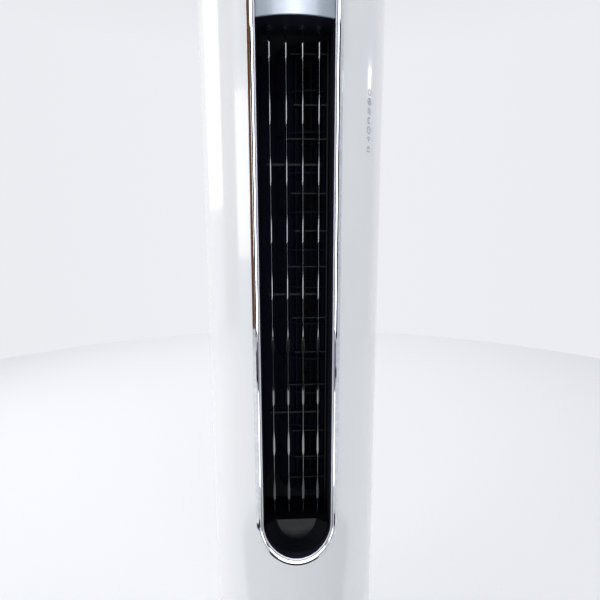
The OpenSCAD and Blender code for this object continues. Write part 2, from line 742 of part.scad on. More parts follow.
foot_pads();
base_plate();
base_cover();
case_screws();
chassis_tray();
left_rail();
right_rail();
top_frame();
front_shell();
rear_cover();
cord_gland();
rear_grille();
filter_frame();
filter_mesh();
top_cap();
control_panel();
control_board();
key_switches();
button_power();
button_speed();
button_mode();
button_timer();
button_swing();
trim_ring();
trim_lip();
display_panel();
display_window();
display_board();
outlet_duct();
chin_cover();
vane_carrier_top();
vane_carrier_bottom();
vane_1();
vane_2();
vane_3();
vane_4();
link_upper();
link_middle();
link_lower();
swing_coupling();
swing_shaft();
swing_motor();
volute_wall();
stabiliser();
guide_ribs();
bulkhead_lower();
bulkhead_upper();
rotor();
rotor_spindle();
bearing_bush();
motor_case();
motor_bearings();
motor_stator();
motor_rotor();
power_board();
panel_cable();
motor_cable();
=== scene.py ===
# %% [markdown]
# # A round tower fan
#
# The fan is a glossy white cylinder on a weighted base. A long opening with round ends runs down
# its front, edged by a polished ring, and four linked vanes steer the air that a tall rotor
# blows out. The working model gives every part's size and place. This lesson gives each surface
# its finish, and rebuilds the few pieces whose looks depend on rounder edges.

# %% Load the working model
import json
import math

import bmesh
import bpy
from mathutils import Matrix, Vector


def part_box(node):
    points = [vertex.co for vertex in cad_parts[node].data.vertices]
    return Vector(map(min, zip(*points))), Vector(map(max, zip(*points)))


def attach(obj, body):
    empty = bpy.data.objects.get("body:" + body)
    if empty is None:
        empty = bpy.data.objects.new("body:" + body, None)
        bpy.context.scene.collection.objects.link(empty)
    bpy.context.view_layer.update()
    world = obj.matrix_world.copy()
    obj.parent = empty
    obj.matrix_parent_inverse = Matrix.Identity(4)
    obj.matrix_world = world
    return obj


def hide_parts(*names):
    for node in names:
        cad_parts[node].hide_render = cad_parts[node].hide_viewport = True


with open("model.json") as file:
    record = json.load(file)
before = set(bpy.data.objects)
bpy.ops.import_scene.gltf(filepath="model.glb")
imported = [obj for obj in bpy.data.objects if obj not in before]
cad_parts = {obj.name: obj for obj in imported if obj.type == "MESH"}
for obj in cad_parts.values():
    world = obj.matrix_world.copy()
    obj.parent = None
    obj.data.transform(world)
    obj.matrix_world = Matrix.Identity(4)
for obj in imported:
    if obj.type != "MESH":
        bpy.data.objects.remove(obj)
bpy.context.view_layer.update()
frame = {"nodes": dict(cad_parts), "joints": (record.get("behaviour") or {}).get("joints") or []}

# %% [markdown]
# ## Sizes that everything else follows
#
# Each place is read from the working model, so nothing has to be fitted afterwards. The body's
# radius comes from the front shell, and the ring's from its own width.

# %% Read the driving sizes
MM = 0.001
BODY_R = round(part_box("front_shell")[1].x, 3)
trim_low, trim_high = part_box("trim_ring")
TRIM_HALF = trim_high.x
ARC_LOW = trim_low.z + TRIM_HALF
ARC_HIGH = trim_high.z - TRIM_HALF
LIP_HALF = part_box("trim_lip")[1].x
OPENING_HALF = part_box("display_panel")[1].x + 0.2 * MM
print(f"body radius {BODY_R / MM:.0f} mm, ring {2 * TRIM_HALF / MM:.0f} mm wide, "
      f"arcs at {ARC_LOW / MM:.0f} and {ARC_HIGH / MM:.0f} mm")

# %% [markdown]
# ## Small helpers
#
# Colours are written as sRGB hex, the way a paint chart gives them, and turned to the linear
# values that a renderer works with. One function adds any shader node, with its settings, its
# ramp and its links. A pattern's scale is worked out from a real size in millimetres.

# %% Helpers for colour, nodes and meshes
def linear(hex_colour):
    """The linear colour of an sRGB hex value."""
    parts = [int(hex_colour[i:i + 2], 16) / 255 for i in (1, 3, 5)]
    return [c / 12.92 if c <= 0.04045 else ((c + 0.055) / 1.055) ** 2.4 for c in parts] + [1.0]


def per_mm(size):
    """The scale of a pattern whose features are about this many millimetres across."""
    return 1 / (size * MM)


def add(tree, kind, links=None, ramp=None, **settings):
    """Add one shader node, with its settings, its ramp, and its inputs set or linked."""
    made = tree.nodes.new("ShaderNode" + kind)
    for name, value in settings.items():
        setattr(made, name, value)
    for socket, value in (links or {}).items():
        if isinstance(value, bpy.types.NodeSocket):
            tree.links.new(value, made.inputs[socket])
        else:
            made.inputs[socket].default_value = value
    for i, (place, colour) in enumerate(ramp or []):
        stops = made.color_ramp.elements
        stop = stops[i] if i < 2 else stops.new(place)
        stop.position, stop.color = place, linear(colour)
    return made


def new_finish(name, **values):
    """A new material: its node tree, its shader with plain values set, and Object coordinates."""
    made = bpy.data.materials.new(name)
    made.use_nodes = True
    tree = made.node_tree
    shader = tree.nodes["Principled BSDF"]
    for socket, value in values.items():
        shader.inputs[socket.replace("_", " ")].default_value = value
    place = add(tree, "TexCoord").outputs["Object"]
    return made, tree, shader, place


def finish_of(name, pattern, stops, relief=0.0, strength=0.5, output="Fac", kind="TexNoise", **values):
    """A whole finish from one pattern: its tone and, if asked, its relief in millimetres."""
    made, tree, shader, place = new_finish(name, **values)
    base = add(tree, kind, {"Vector": place, **pattern})
    tone = add(tree, "ValToRGB", {"Fac": base.outputs[output]}, ramp=stops)
    tree.links.new(tone.outputs["Color"], shader.inputs["Base Color"])
    if relief:
        bump = add(tree, "Bump", {"Height": base.outputs[output], "Strength": strength,
                                  "Distance": relief * MM})
        tree.links.new(bump.outputs["Normal"], shader.inputs["Normal"])
    return made


def paint(finish, *nodes):
    """Give a finish to CAD nodes, by name."""
    for name in nodes:
        slots = frame["nodes"][name].data.materials
        slots.clear()
        slots.append(finish)


def piece_of(shape, name, finish, body, smooth_angle=35):
    """Make a finished piece from a bmesh, smooth below an angle, riding on a body."""
    mesh = bpy.data.meshes.new(name)
    shape.to_mesh(mesh)
    shape.free()
    mesh.materials.append(finish)
    mesh.shade_smooth()
    mesh.set_sharp_from_angle(angle=math.radians(smooth_angle))
    piece = bpy.data.objects.new(name, mesh)
    bpy.context.scene.collection.objects.link(piece)
    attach(piece, body)
    return piece


# %% [markdown]
# ## Gloss white ABS
#
# The shells are injection-moulded ABS from a polished mould. The plastic is a near-white with a
# clear, sharp gloss, and a faint long waviness that only shows where a straight light is
# mirrored in it. A coat over a slightly softer base gives both. The ripple acts on the base and
# on the coat, so this finish is built node by node and not with `finish_of`.

# %% Gloss white ABS, moulded
white_abs, tree, shader, place = new_finish("gloss_white_ABS_moulded", Roughness=0.16, IOR=1.53,
                                            Coat_Weight=0.6, Coat_Roughness=0.03)
tone = add(tree, "TexNoise", {"Vector": place, "Scale": per_mm(220), "Detail": 2.0})
shade = add(tree, "ValToRGB", {"Fac": tone.outputs["Fac"]}, ramp=[(0.3, "#F1F2F3"), (0.7, "#F6F6F5")])
ripple = add(tree, "TexNoise", {"Vector": place, "Scale": per_mm(16), "Detail": 1.0})
bump = add(tree, "Bump", {"Height": ripple.outputs["Fac"], "Strength": 0.1, "Distance": 0.012 * MM})
tree.links.new(shade.outputs["Color"], shader.inputs["Base Color"])
tree.links.new(bump.outputs["Normal"], shader.inputs["Normal"])
tree.links.new(bump.outputs["Normal"], shader.inputs["Coat Normal"])
paint(white_abs, "front_shell", "rear_cover", "top_cap", "base_cover", "rear_grille")
print("white shells painted with", white_abs.name)

# %% [markdown]
# ## Black ABS, gloss and textured
#
# The vanes, the dish, the duct and the rotor are black ABS. What is seen from close by is
# polished, and what sits deeper has the fine matt texture of a spark-eroded mould. Rough blacks
# are made from one noise pattern, which gives the grain its tone and its relief. The polished
# black is built by hand, because the same noise also drives its roughness, like worn polish.

# %% Gloss black ABS, moulded
black_gloss, tree, shader, place = new_finish("gloss_black_ABS_moulded", Roughness=0.2, IOR=1.53,
                                              Coat_Weight=1.0, Coat_Roughness=0.05, Coat_IOR=1.6)
tone = add(tree, "TexNoise", {"Vector": place, "Scale": per_mm(40), "Detail": 3.0})
shade = add(tree, "ValToRGB", {"Fac": tone.outputs["Fac"]}, ramp=[(0.3, "#0A0B10"), (0.7, "#101219")])
rub = add(tree, "ValToRGB", {"Fac": tone.outputs["Fac"]}, ramp=[(0.35, "#303030"), (0.75, "#4A4A4A")])
tree.links.new(shade.outputs["Color"], shader.inputs["Base Color"])
tree.links.new(rub.outputs["Color"], shader.inputs["Roughness"])
paint(black_gloss, "control_panel")
print("gloss black made:", black_gloss.name)

# %% Textured and matt blacks, moulded
black_matt = finish_of("textured_black_ABS_moulded", {"Scale": per_mm(0.9), "Detail": 2.0},
                       [(0.3, "#1A1C28"), (0.7, "#242634")], relief=0.05, strength=0.35,
                       Roughness=0.42, IOR=1.53)
paint(black_matt, "outlet_duct", "vane_carrier_top", "stabiliser", "key_switches")

# Glass fibre keeps the long thin bars stiff, and leaves their skin dull.
deep_black = finish_of("glass_filled_black_ABS_moulded", {"Scale": per_mm(1.4), "Detail": 2.0},
                       [(0.3, "#12141C"), (0.7, "#191B25")], relief=0.03,
                       Roughness=0.5, Specular_IOR_Level=0.18)
paint(deep_black, "guide_ribs", "link_upper", "link_middle", "link_lower")

# A carbon filler leaves the rotor a very dull black. Its paler, bluish tone is partly painted light,
# standing in for the dim light inside the duct.
rotor_black = finish_of("carbon_filled_ABS_moulded", {"Scale": per_mm(1.4), "Detail": 2.0},
                        [(0.3, "#1A1C30"), (0.7, "#22243A")], relief=0.03,
                        Roughness=0.65, Specular_IOR_Level=0.08)
paint(rotor_black, "rotor")

# The casing behind the rotor has a matt texture. It is the palest of the blacks: painted light, standing in
# for the little light that reaches it.
casing_black = finish_of("matt_black_ABS_moulded", {"Scale": per_mm(1.2), "Detail": 2.0},
                         [(0.3, "#24263A"), (0.7, "#2C2E44")], relief=0.03,
                         Roughness=0.65, Specular_IOR_Level=0.1)
paint(casing_black, "volute_wall")

# The dish is satin in its flat middle. Its finely textured slope gets a duller copy of the black that barely
# reflects: painted shade that keeps it dark.
satin_black = finish_of("satin_black_ABS_moulded", {"Scale": per_mm(1.1), "Detail": 2.0},
                        [(0.3, "#07080C"), (0.7, "#0B0C12")], relief=0.01, Roughness=0.27, IOR=1.6)
paint(satin_black, "vane_carrier_bottom")
# The slope's black: finely textured, duller and barely reflective, so it reads as painted shade.
shadow_black = finish_of("painted_shade_black_ABS_moulded", {"Scale": per_mm(0.9), "Detail": 2.0},
                         [(0.3, "#0A0B12"), (0.7, "#0E0F18")], relief=0.02,
                         Roughness=0.7, Specular_IOR_Level=0.1)
print("blacks made:", black_matt.name, deep_black.name, rotor_black.name, casing_black.name,
      satin_black.name, shadow_black.name)

# %% [markdown]
# ## Chrome plate and satin silver
#
# The ring is chromium over nickel on ABS: a near-perfect mirror, very slightly wavy, because the
# plating follows the plastic. The narrow lip inside it is a satin silver paint, which spreads the
# same reflections into a soft grey line. Metal flakes half a millimetre across are coarser than
# real ones, so that they show at all.

# %% Chrome plate on ABS
chrome, tree, shader, place = new_finish("chrome_plate_on_ABS", Metallic=1.0, Roughness=0.045)
swell = add(tree, "TexNoise", {"Vector": place, "Scale": per_mm(22), "Detail": 1.0})
bump = add(tree, "Bump", {"Height": swell.outputs["Fac"], "Strength": 0.1, "Distance": 0.01 * MM})
haze = add(tree, "TexNoise", {"Vector": place, "Scale": per_mm(6), "Detail": 4.0})
wipe = add(tree, "ValToRGB", {"Fac": haze.outputs["Fac"]}, ramp=[(0.4, "#DCDFE2"), (0.7, "#F0F1F3")])
tree.links.new(wipe.outputs["Color"], shader.inputs["Base Color"])
tree.links.new(bump.outputs["Normal"], shader.inputs["Normal"])

# %% Satin silver paint
satin_silver = finish_of("satin_silver_paint", {"Scale": per_mm(0.5)},
                         [(0.0, "#D6D6DC"), (0.6, "#C4C4CC")],
                         kind="TexVoronoi", output="Distance", Metallic=0.75, Roughness=0.38)
print("ring finishes made:", chrome.name, "and", satin_silver.name)

# %% [markdown]
# ## The silver panel and its window
#
# The panel at the head of the opening is lacquered: pearl flakes under a clear coat, which gives a
# pale blue-grey sheen with a sharp gloss over it. Its window is smoked acrylic, nearly black until
# the display behind it lights up. The five keys on the cap share the lacquer.

# %% Pearl lacquer and smoked acrylic
# The pearl's flakes are drawn far coarser than real ones, so that they show.
pearl = finish_of("pearl_silver_lacquer", {"Scale": per_mm(0.6)}, [(0.0, "#D9E0EA"), (0.6, "#C3CCDA")],
                  kind="TexVoronoi", output="Distance", Metallic=0.35, Roughness=0.3,
                  Coat_Weight=0.8, Coat_Roughness=0.04)
paint(pearl, "display_panel", "button_power", "button_speed", "button_mode", "button_timer",
      "button_swing")
smoked = finish_of("smoked_acrylic_window", {"Scale": per_mm(30)}, [(0.3, "#08090C"), (0.7, "#0D0E12")],
                   Roughness=0.04, IOR=1.49)
paint(smoked, "display_window")
print("panel finishes made:", pearl.name, "and", smoked.name)

# %% [markdown]
# ## Metals, rubber and the pieces inside
#
# Little of this is seen, but the grille at the back and the hole under the base show some of it.
# Zinc-plated sheet has a cloudy spangle, cast iron a coarse skin under its paint, and rubber
# scatters what little light it returns. Each needs only one pattern, so each is one call.

# %% Zinc plate, cast iron, bronze and rubber
zinc = finish_of("zinc_plated_steel", {"Scale": per_mm(7)}, [(0.2, "#9DA1A5"), (0.8, "#B8BCC0")],
                 kind="TexVoronoi", output="Color", Metallic=1.0, Roughness=0.34)
paint(zinc, "left_rail", "right_rail", "case_screws", "swing_motor", "swing_shaft", "motor_case",
      "motor_rotor", "rotor_spindle")
cast_iron = finish_of("black_coated_cast_iron", {"Scale": per_mm(1.6), "Detail": 4.0},
                      [(0.3, "#1A1B1D"), (0.7, "#27282B")], relief=0.15, strength=0.6,
                      Roughness=0.62, Metallic=0.2)
paint(cast_iron, "base_plate")
# Sintered bronze is pressed from grains, so it is speckled with dark pores.
bronze = finish_of("sintered_bronze", {"Scale": per_mm(0.6)}, [(0.0, "#7A5226"), (0.5, "#B5843F")],
                   kind="TexVoronoi", output="Distance", Metallic=1.0, Roughness=0.45)
paint(bronze, "bearing_bush", "motor_bearings")
rubber = finish_of("black_rubber_moulded", {"Scale": per_mm(3), "Detail": 5.0},
                   [(0.35, "#17171A"), (0.75, "#2A2A2B")], Roughness=0.85)
paint(rubber, "foot_pads", "panel_cable", "motor_cable")
print("metals and rubber made:", zinc.name, cast_iron.name, bronze.name, rubber.name)

# %% Grey ABS and nylons
# The frame pieces have a plain, finely grained grey. Nylon is smoother and slightly cloudy.
grey_abs = finish_of("grey_ABS_moulded", {"Scale": per_mm(1.2), "Detail": 3.0},
                     [(0.3, "#383A3E"), (0.7, "#43454A")], relief=0.05, strength=0.3,
                     Roughness=0.5, IOR=1.53)
paint(grey_abs, "chassis_tray", "top_frame", "bulkhead_lower", "bulkhead_upper", "filter_frame")
black_nylon = finish_of("black_nylon_moulded", {"Scale": per_mm(0.8), "Detail": 3.0},
                        [(0.3, "#141416"), (0.7, "#1F1F22")], Roughness=0.45, IOR=1.53)
paint(black_nylon, "cord_gland")
natural_nylon = finish_of("natural_nylon_moulded", {"Scale": per_mm(9), "Detail": 3.0},
                          [(0.3, "#E0DDD0"), (0.7, "#ECE9DE")], Roughness=0.4, IOR=1.53)
paint(natural_nylon, "swing_coupling")
print("plastics made:", grey_abs.name, black_nylon.name, natural_nylon.name)

# %% [markdown]
# ## Woven, printed and wound surfaces
#
# Three surfaces are made of many like things side by side: the loops of the filter, the tracks of
# a circuit board and the turns of a winding. Wave and brick patterns draw such rows directly.

# %% Knitted filter mesh
filter_knit, tree, shader, place = new_finish("knitted_polyester_mesh", Roughness=0.9)
# Real loops are about half a millimetre apart. They are drawn far coarser, so that they show.
across = add(tree, "TexWave", {"Vector": place, "Scale": per_mm(10)}, bands_direction="X")
along = add(tree, "TexWave", {"Vector": place, "Scale": per_mm(10)}, bands_direction="Z")
loops = add(tree, "Math", {0: across.outputs["Fac"], 1: along.outputs["Fac"]}, operation="MULTIPLY")
tone = add(tree, "ValToRGB", {"Fac": loops.outputs[0]}, ramp=[(0.1, "#4A4D52"), (0.7, "#1A1B1E")])
bump = add(tree, "Bump", {"Height": loops.outputs[0], "Strength": 0.8, "Distance": 0.3 * MM}, invert=True)
tree.links.new(tone.outputs["Color"], shader.inputs["Base Color"])
tree.links.new(bump.outputs["Normal"], shader.inputs["Normal"])
paint(filter_knit, "filter_mesh")
print("filter made:", filter_knit.name)

# %% Circuit boards and the motor's winding
# Tracks show as paler green lines under the solder mask, and enamelled wire as coppery turns.
circuit, tree, shader, place = new_finish("green_solder_mask_on_board", Roughness=0.35)
tracks = add(tree, "TexBrick", {"Vector": place, "Scale": per_mm(14), "Mortar Size": 0.03,
                                "Color1": linear("#0E3B20"), "Color2": linear("#124626"),
                                "Mortar": linear("#2B7A48")})
tree.links.new(tracks.outputs["Color"], shader.inputs["Base Color"])
paint(circuit, "control_board", "display_board", "power_board")

winding, tree, shader, place = new_finish("enamelled_copper_winding", Metallic=0.9, Roughness=0.3)
turns = add(tree, "TexWave", {"Vector": place, "Scale": per_mm(5), "Distortion": 1.5}, bands_direction="Z")
tone = add(tree, "ValToRGB", {"Fac": turns.outputs["Fac"]}, ramp=[(0.2, "#5E2C14"), (0.8, "#C6733C")])
tree.links.new(tone.outputs["Color"], shader.inputs["Base Color"])
paint(winding, "motor_stator")

# %% Printed ink
# Pad-printed ink dries to a flat, slightly speckled film.
grey_ink = finish_of("grey_pad_printed_ink", {"Scale": per_mm(1.5), "Detail": 3.0},
                     [(0.3, "#888A96"), (0.7, "#9C9EA9")], Roughness=0.4)
print("materials in the scene:", len(bpy.data.materials))

# %% [markdown]
# ## The polished ring
#
# The ring is one bead, bent round the body. It is drawn flat first: a short profile is spun round
# the lower arc, run up the straight, spun over the top and run down again. Then every point is
# pushed back onto the cylinder. The bead's front has three narrow facets. Each is tilted to mirror
# its own part of the room, so the ring reads as fine upright lines and the profile matters.

# %% The ring and its lip
def ring_on_body(profile, rounded, radius, arc_steps=40):
    """A closed profile, as (half width, height over the body), run round the long opening."""
    shape = bmesh.new()
    points = [shape.verts.new((half, -height, ARC_LOW)) for half, height in profile]
    edges = [shape.edges.new((a, b)) for a, b in zip(points, points[1:] + points[:1])]
    corners = [points[i] for i in rounded]
    bmesh.ops.bevel(shape, geom=corners, offset=radius, affect="VERTICES", segments=5, profile=0.5,
                    material=-1)
    edges = list(shape.edges)
    for centre, rise in ((ARC_LOW, ARC_HIGH - ARC_LOW), (ARC_HIGH, ARC_LOW - ARC_HIGH)):
        turned = bmesh.ops.spin(shape, geom=edges, cent=(0, 0, centre), axis=(0, 1, 0),
                                angle=math.pi, steps=arc_steps)
        last = [g for g in turned["geom_last"] if isinstance(g, bmesh.types.BMEdge)]
        run = bmesh.ops.extrude_edge_only(shape, edges=last)["geom"]
        bmesh.ops.translate(shape, verts=[g for g in run if isinstance(g, bmesh.types.BMVert)],
                            vec=(0, 0, rise))
        edges = [g for g in run if isinstance(g, bmesh.types.BMEdge)
                 and abs(g.verts[0].co.z - g.verts[1].co.z) < 1e-6]
    bmesh.ops.remove_doubles(shape, verts=shape.verts, dist=0.01 * MM)
    for point in shape.verts:
        reach = BODY_R - point.co.y
        point.co.y = -math.sqrt(reach * reach - point.co.x * point.co.x)
    bmesh.ops.recalc_face_normals(shape, faces=shape.faces)
    return shape


# The bead's foot stands in from its outer edge and reaches back into the body, as the lip's does.
FOOT_HALF = TRIM_HALF - 3.0 * MM
FOOT_BACK = -7.9 * MM
bead = [(TRIM_HALF, 0.15 * MM), (TRIM_HALF - 0.4 * MM, 1.7 * MM), (TRIM_HALF - 3.9 * MM, 2.76 * MM),
        (TRIM_HALF - 5.6 * MM, 2.35 * MM), (LIP_HALF + 0.1 * MM, 1.84 * MM),
        (LIP_HALF + 0.1 * MM, FOOT_BACK), (FOOT_HALF, FOOT_BACK), (FOOT_HALF, 0.15 * MM)]
trim = piece_of(ring_on_body(bead, (1, 2, 3, 4), 0.25 * MM), "polished_ring", chrome, "housing", 50)
# Weighted normals keep the three facets of the bead flat, and the rounding between them tight.
trim.modifiers.new("flat_facets", "WEIGHTED_NORMAL").keep_sharp = True
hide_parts("trim_ring")

lip_edge = [(LIP_HALF, FOOT_BACK), (LIP_HALF, 1.2 * MM), (OPENING_HALF, 0.6 * MM),
            (OPENING_HALF, FOOT_BACK)]
lip = piece_of(ring_on_body(lip_edge, (1, 2), 0.5 * MM), "satin_lip", satin_silver, "housing", 50)
lip.data.materials.append(black_matt)
# The silver paint ends just inside the edge. Deeper than that, the lip is bare black plastic.
for face in lip.data.polygons:
    if math.hypot(face.center.x, face.center.y) < BODY_R - 1.5 * MM:
        face.material_index = 1
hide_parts("trim_lip")
print("ring:", len(trim.data.polygons), "faces; lip:", len(lip.data.polygons), "faces")

# %% [markdown]
# ## The dish under the vanes
#
# The vanes end over a round-bottomed dish: flat in its middle, then sloping forward to the rim.
# Its satin flat part mirrors the pale floor as a soft half-moon. The slope round it is painted shade: a
# finely textured, barely reflective copy of the black that keeps it dark. So a true curve matters more here
# than detail. The section is spun half a turn about the lower arc's centre and cut off level with the ledge.
# Then the flat part is stretched down.

# %% The dish
dish_low, dish_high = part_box("chin_cover")
rim_r = dish_high.x
RIM_WIDTH = 1.8 * MM
FILLET_STEPS = 8
FLAT_STRETCH = 1.33
flat_r, flat_y, slope, fillet = 26.5 * MM, -91.5 * MM, math.radians(50), 4 * MM
section = [(0, dish_high.y), (rim_r, dish_high.y), (rim_r, dish_low.y), (rim_r - RIM_WIDTH, dish_low.y)]
for step in range(FILLET_STEPS, -1, -1):
    a = slope * step / FILLET_STEPS
    section.append((flat_r + fillet * math.sin(a), flat_y - fillet * (1 - math.cos(a))))
section.append((0, flat_y))
shape = bmesh.new()
points = [shape.verts.new((r, y, ARC_LOW)) for r, y in section]
edges = [shape.edges.new((a, b)) for a, b in zip(points, points[1:])]
bmesh.ops.spin(shape, geom=edges, cent=(0, 0, ARC_LOW), axis=(0, 1, 0), angle=math.pi, steps=64)
bmesh.ops.remove_doubles(shape, verts=shape.verts, dist=0.01 * MM)
cut = bmesh.ops.bisect_plane(shape, geom=shape.verts[:] + shape.edges[:] + shape.faces[:],
                             plane_co=(0, 0, dish_high.z), plane_no=(0, 0, 1), clear_outer=True)
bmesh.ops.edgeloop_fill(shape, edges=[g for g in cut["geom_cut"] if isinstance(g, bmesh.types.BMEdge)])
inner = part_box("outlet_duct")[0].y + 0.4 * MM
for point in shape.verts:
    # Stretch the flat part downwards, and leave the rim where it is.
    reach = math.hypot(point.co.x, point.co.z - ARC_LOW)
    towards_rim = min(1.0, max(0.0, (reach - flat_r) / (rim_r - flat_r)))
    stretch = FLAT_STRETCH + (1.0 - FLAT_STRETCH) * towards_rim
    if point.co.y < flat_y + MM:
        point.co.z = ARC_LOW + (point.co.z - ARC_LOW) * stretch
    point.co.y = max(point.co.y, -math.sqrt(inner * inner - point.co.x ** 2))
bmesh.ops.recalc_face_normals(shape, faces=shape.faces)
dish = piece_of(shape, "dish_under_vanes", satin_black, "housing", 40)
# Faces on the slope take the duller, barely reflective black: painted shade.
dish.data.materials.append(shadow_black)
for face in dish.data.polygons:
    if face.center.y < flat_y - 0.05 * MM:
        face.material_index = 1
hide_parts("chin_cover")
print("dish:", len(dish.data.polygons), "faces")

# %% [markdown]
# ## The four vanes
#
# A vane is a thin blade with a rounded nose. The nose swells once in each bay, all the way down:
# thickly at the lower end of the swelling, then tapering upwards, which gives each bay a glint
# shaped like a drop. Each blade is a grid: its columns are the nose, the flanks and the tail, its
# rows run up the blade, and the cells behind a link bar are left out. Pulling the grid into two
# skins and setting each point's half thickness shapes it.

# %% Vane shape
VANE_BAY = 69.8 * MM
VANE_FIRST = 354 * MM
LINK_GAP = 5 * MM
# The blade's section, in millimetres: depth behind the front edge, and half thickness there.
DEPTHS = [0, 0.12, 0.5, 1.4, 3.2, 9, 17, 23.4, 24]
HALVES = [0.62, 0.84, 0.97, 1.0, 0.97, 0.95, 0.8, 0.6, 0.3]
# The nose runs this deep. Between swellings it is thinner, and its flat front narrower still.
NOSE_DEPTH = 4
NOSE_THIN, NOSE_GAIN = -0.5, 1.5
FLAT_THIN, FLAT_GAIN = 0.45, 0.65
# As shares of a bay: full thickness ends, the taper ends, and the short lower ramp.
FULL_END, TAPER_END, RAMP = 0.24, 0.46, 0.05
PIVOT_R, PIN_R = 2, 1.1
link_heights = [sum((corner.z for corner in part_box(bar)), 0.0) / 2
                for bar in ("link_lower", "link_middle", "link_upper")]
vane_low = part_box("vane_carrier_bottom")[1].z + 4 * MM
vane_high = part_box("vane_carrier_top")[0].z - 2 * MM
vane_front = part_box("vane_1")[0].y
pivot_y = next(j for j in frame["joints"] if j["name"] == "vane_1_swing")["pos_m"][1]
pin_y = next(j for j in frame["joints"] if j["name"] == "vane_links_pivot")["pos_m"][1]


def swelling(z):
    """How far the nose has swollen at this height, from 0 to 1."""
    phase = (z - VANE_FIRST) / VANE_BAY % 1.0
    return min(1.0, max(0.0, (TAPER_END - phase) / (TAPER_END - FULL_END), (phase - 1.0 + RAMP) / RAMP))


def make_vane(number):
    """One blade with its spindles and link pins."""
    hinge = next(j for j in frame["joints"] if j["name"] == f"vane_{number}_swing")
    middle = hinge["pos_m"][0]
    stops = [vane_low] + [z + s * LINK_GAP for z in link_heights for s in (-1, 1)] + [vane_high]
    rows = []
    for low, high in zip(stops, stops[1:]):
        steps = max(1, round((high - low) / (4 * MM)))
        rows += [low + (high - low) * i / steps for i in range(steps)]
    rows.append(vane_high)
    shape = bmesh.new()
    bmesh.ops.create_grid(shape, x_segments=len(DEPTHS) - 1, y_segments=len(rows) - 1, size=0.5)
    for point in shape.verts:
        column = round((point.co.x + 0.5) * (len(DEPTHS) - 1))
        row = round((point.co.y + 0.5) * (len(rows) - 1))
        point.co = Vector((0, vane_front + DEPTHS[column] * MM, rows[row]))
    open_cells = [face for face in shape.faces
                  if face.calc_center_median().y > pin_y - 5 * MM
                  and any(abs(face.calc_center_median().z - z) < LINK_GAP for z in link_heights)]
    bmesh.ops.delete(shape, geom=open_cells, context="FACES")
    skin = bmesh.ops.extrude_face_region(shape, geom=shape.faces[:])["geom"]
    right = {g for g in skin if isinstance(g, bmesh.types.BMVert)}
    for point in shape.verts:
        depth = (point.co.y - vane_front) / MM
        column = min(range(len(DEPTHS)), key=lambda i: abs(DEPTHS[i] - depth))
        nose = max(0.0, 1 - depth / NOSE_DEPTH)
        swell = swelling(point.co.z)
        half = HALVES[column] * (1.0 + nose * (NOSE_GAIN * swell + NOSE_THIN)) * MM
        if column == 0:
            half *= FLAT_THIN + FLAT_GAIN * swell
        point.co.x = middle + (half if point in right else -half)
    pins = [(pivot_y, PIVOT_R, vane_low - 9 * MM, vane_low + MM),
            (pivot_y, PIVOT_R, vane_high - MM, vane_high + 18 * MM)]
    pins += [(pin_y, PIN_R, z - LINK_GAP - MM, z + LINK_GAP + MM) for z in link_heights]
    for y, radius, low, high in pins:
        bmesh.ops.create_cone(shape, cap_ends=True, segments=20, radius1=radius * MM, radius2=radius * MM,
                              depth=high - low, matrix=Matrix.Translation((middle, y, (low + high) / 2)))
    bmesh.ops.recalc_face_normals(shape, faces=shape.faces)
    vane = piece_of(shape, f"blade_{number}", black_gloss, f"vane_{number}_body", 40)
    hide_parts(f"vane_{number}")
    return vane


for number in (1, 2, 3, 4):
    blade = make_vane(number)
print("vanes: 4, each", len(blade.data.polygons), "faces")

# %% [markdown]
# ## Printed marks
#
# Seven small grey marks stand in a column on the right of the front shell, and each key on the
# cap has one too. They are plain pictograms, drawn as strokes on a flat sheet: each stroke is a
# chain of points, widened to a ribbon, and the sheet is then wrapped round the body or laid on
# the key. The ink stands five hundredths of a millimetre proud.

# %% Pictograms as strokes
def arc(cx, cy, r, start, end, steps=20):
    """Points along an arc, in degrees."""
    return [(cx + r * math.cos(math.radians(start + (end - start) * i / steps)),
             cy + r * math.sin(math.radians(start + (end - start) * i / steps))) for i in range(steps + 1)]


def wave(cy):
    """Points along one gentle wave."""
    return [(-3.6 + 7.2 * i / 16, cy + 0.9 * math.sin(2 * math.pi * i / 16)) for i in range(17)]


def petal(turn):
    """One curved blade of the small fan."""
    a = math.radians(turn)
    return [(0, 0)] + arc(1.3 * math.cos(a), 1.3 * math.sin(a), 1.3, turn - 150, turn + 60, 10)


PICTOGRAMS = {
    "power": [arc(0, 0, 3.4, 120, 420), [(0, 1), (0, 4.4)]],
    "fan": [arc(0, 0, 3.8, 0, 360)] + [petal(turn) for turn in (90, 210, 330)],
    "breeze": [wave(-2.4), wave(0), wave(2.4)],
    "night": [arc(0.4, 0, 3.6, 60, 300) + arc(2.4, 0, 3.2, 250, 110, 14) + [(2.2, 3.1)]],
    "timer": [arc(0, 0, 3.8, 0, 360), [(0, 2.6), (0, 0), (2, -1)]],
    "swing": [arc(0, -3.4, 6, 50, 130), arc(0, -3.4, 3.6, 50, 130), [(0, -3.4), (0, 0.4)]],
    "lock": [[(-2.8, -3.6), (2.8, -3.6), (2.8, 0.4), (-2.8, 0.4), (-2.8, -3.6)], arc(0, 0.4, 2, 0, 180, 12)],
}


def ribbons(shape, strokes, width):
    """Widen each chain of points to a flat ribbon in X and Y, in millimetres."""
    for chain in strokes:
        pairs = []
        for i, (x, y) in enumerate(chain):
            before, after = chain[max(i - 1, 0)], chain[min(i + 1, len(chain) - 1)]
            along = Vector((after[0] - before[0], after[1] - before[1])).normalized()
            side = Vector((-along.y, along.x)) * width / 2
            pairs.append([shape.verts.new((x + s * side.x, y + s * side.y, 0)) for s in (-1, 1)])
        for (a, b), (c, d) in zip(pairs, pairs[1:]):
            shape.faces.new((a, c, d, b))


